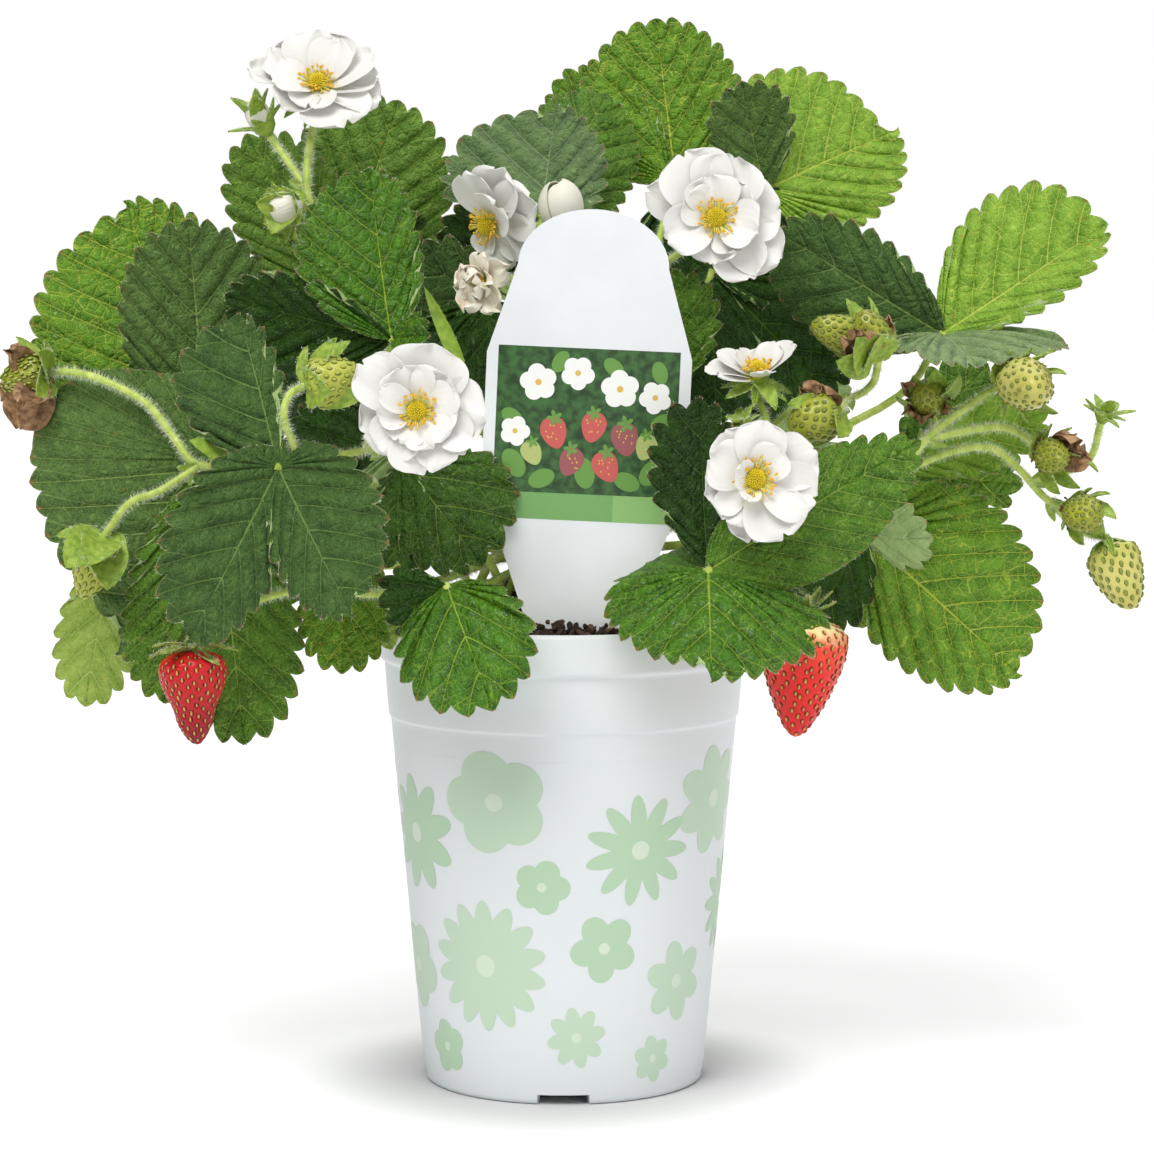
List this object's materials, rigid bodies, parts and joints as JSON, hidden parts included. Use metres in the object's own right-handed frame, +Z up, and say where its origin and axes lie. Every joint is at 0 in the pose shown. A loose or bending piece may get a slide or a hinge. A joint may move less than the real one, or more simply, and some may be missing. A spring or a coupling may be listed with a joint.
{
  "type": "strawberry plant",
  "caption": "Bushy strawberry plant with toothed leaves in threes, white flowers, ripe and unripe berries, in a white nursery pot with its soil and plant tag.",
  "frame": {"origin": "on the ground under the middle of the pot, which is also the bottom centre of the whole plant's box within 2.5 mm", "axes": "+Z up; -Y is the side that the tag and the picture's viewer are on; +X is the plant's width"},
  "size_m": [0.3242, 0.1847, 0.3139],
  "materials": {
    "pot_white": "satin",
    "tag_white": "satin",
    "potting_soil": "matte",
    "crown_brown": "matte",
    "leaf_green": "satin",
    "stem_green": "satin",
    "petal_white": "matte",
    "bud_green": "matte",
    "ripe_red": "gloss",
    "unripe_green": "satin",
    "dried_brown": "matte"
  },
  "bodies": {
    "root": {"pot": "pot_white", "soil": "potting_soil", "crown": "crown_brown", "tag": "tag_white", "leaf_front_left": "leaf_green", "leaf_left_high": "leaf_green", "leaf_left_low": "leaf_green", "leaf_far_left": "leaf_green", "leaf_low_left": "leaf_green", "leaf_front_centre": "leaf_green", "leaf_inner_left": "leaf_green", "leaf_upper_left": "leaf_green", "leaf_back_left": "leaf_green", "leaf_behind_tag": "leaf_green", "leaf_top_centre": "leaf_green", "leaf_top": "leaf_green", "leaf_top_right": "leaf_green", "leaf_right_high": "leaf_green", "leaf_right_mid": "leaf_green", "leaf_right_low": "leaf_green", "leaf_front_right": "leaf_green", "leaf_inner_right": "leaf_green", "leaf_beside_tag": "leaf_green", "leaf_rear_left": "leaf_green", "leaf_rear_middle": "leaf_green", "leaf_rear_right": "leaf_green", "stalk_left": "stem_green", "stalk_top_left": "stem_green", "stalk_front_left": "stem_green", "stalk_centre": "stem_green", "stalk_top_right": "stem_green", "stalk_right": "stem_green", "stalk_middle_right": "stem_green", "stalk_front_right": "stem_green", "stalk_low_left": "stem_green", "stalk_low_right": "stem_green", "flower_top_left": "petal_white", "flower_top_right": "petal_white", "flower_behind_tag": "petal_white", "flower_wilted": "petal_white", "flower_front_right": "petal_white", "flower_half_spent": "petal_white", "flower_front_left": "petal_white", "fruit_red_left": "ripe_red", "fruit_red_right": "ripe_red", "fruit_dried": "dried_brown", "fruit_green_left": "unripe_green", "fruit_green_hooked": "unripe_green", "fruit_double": "unripe_green", "fruit_green_middle": "unripe_green", "fruit_dark_small": "unripe_green", "fruit_white_right": "unripe_green", "fruit_right_second": "unripe_green", "fruit_right_third": "unripe_green", "fruit_right_long": "unripe_green", "bud_top_left": "bud_green", "bud_white_left": "bud_green", "bud_white_centre": "bud_green", "bud_right_empty": "bud_green", "bud_small": "bud_green"}
  },
  "joints": []
}
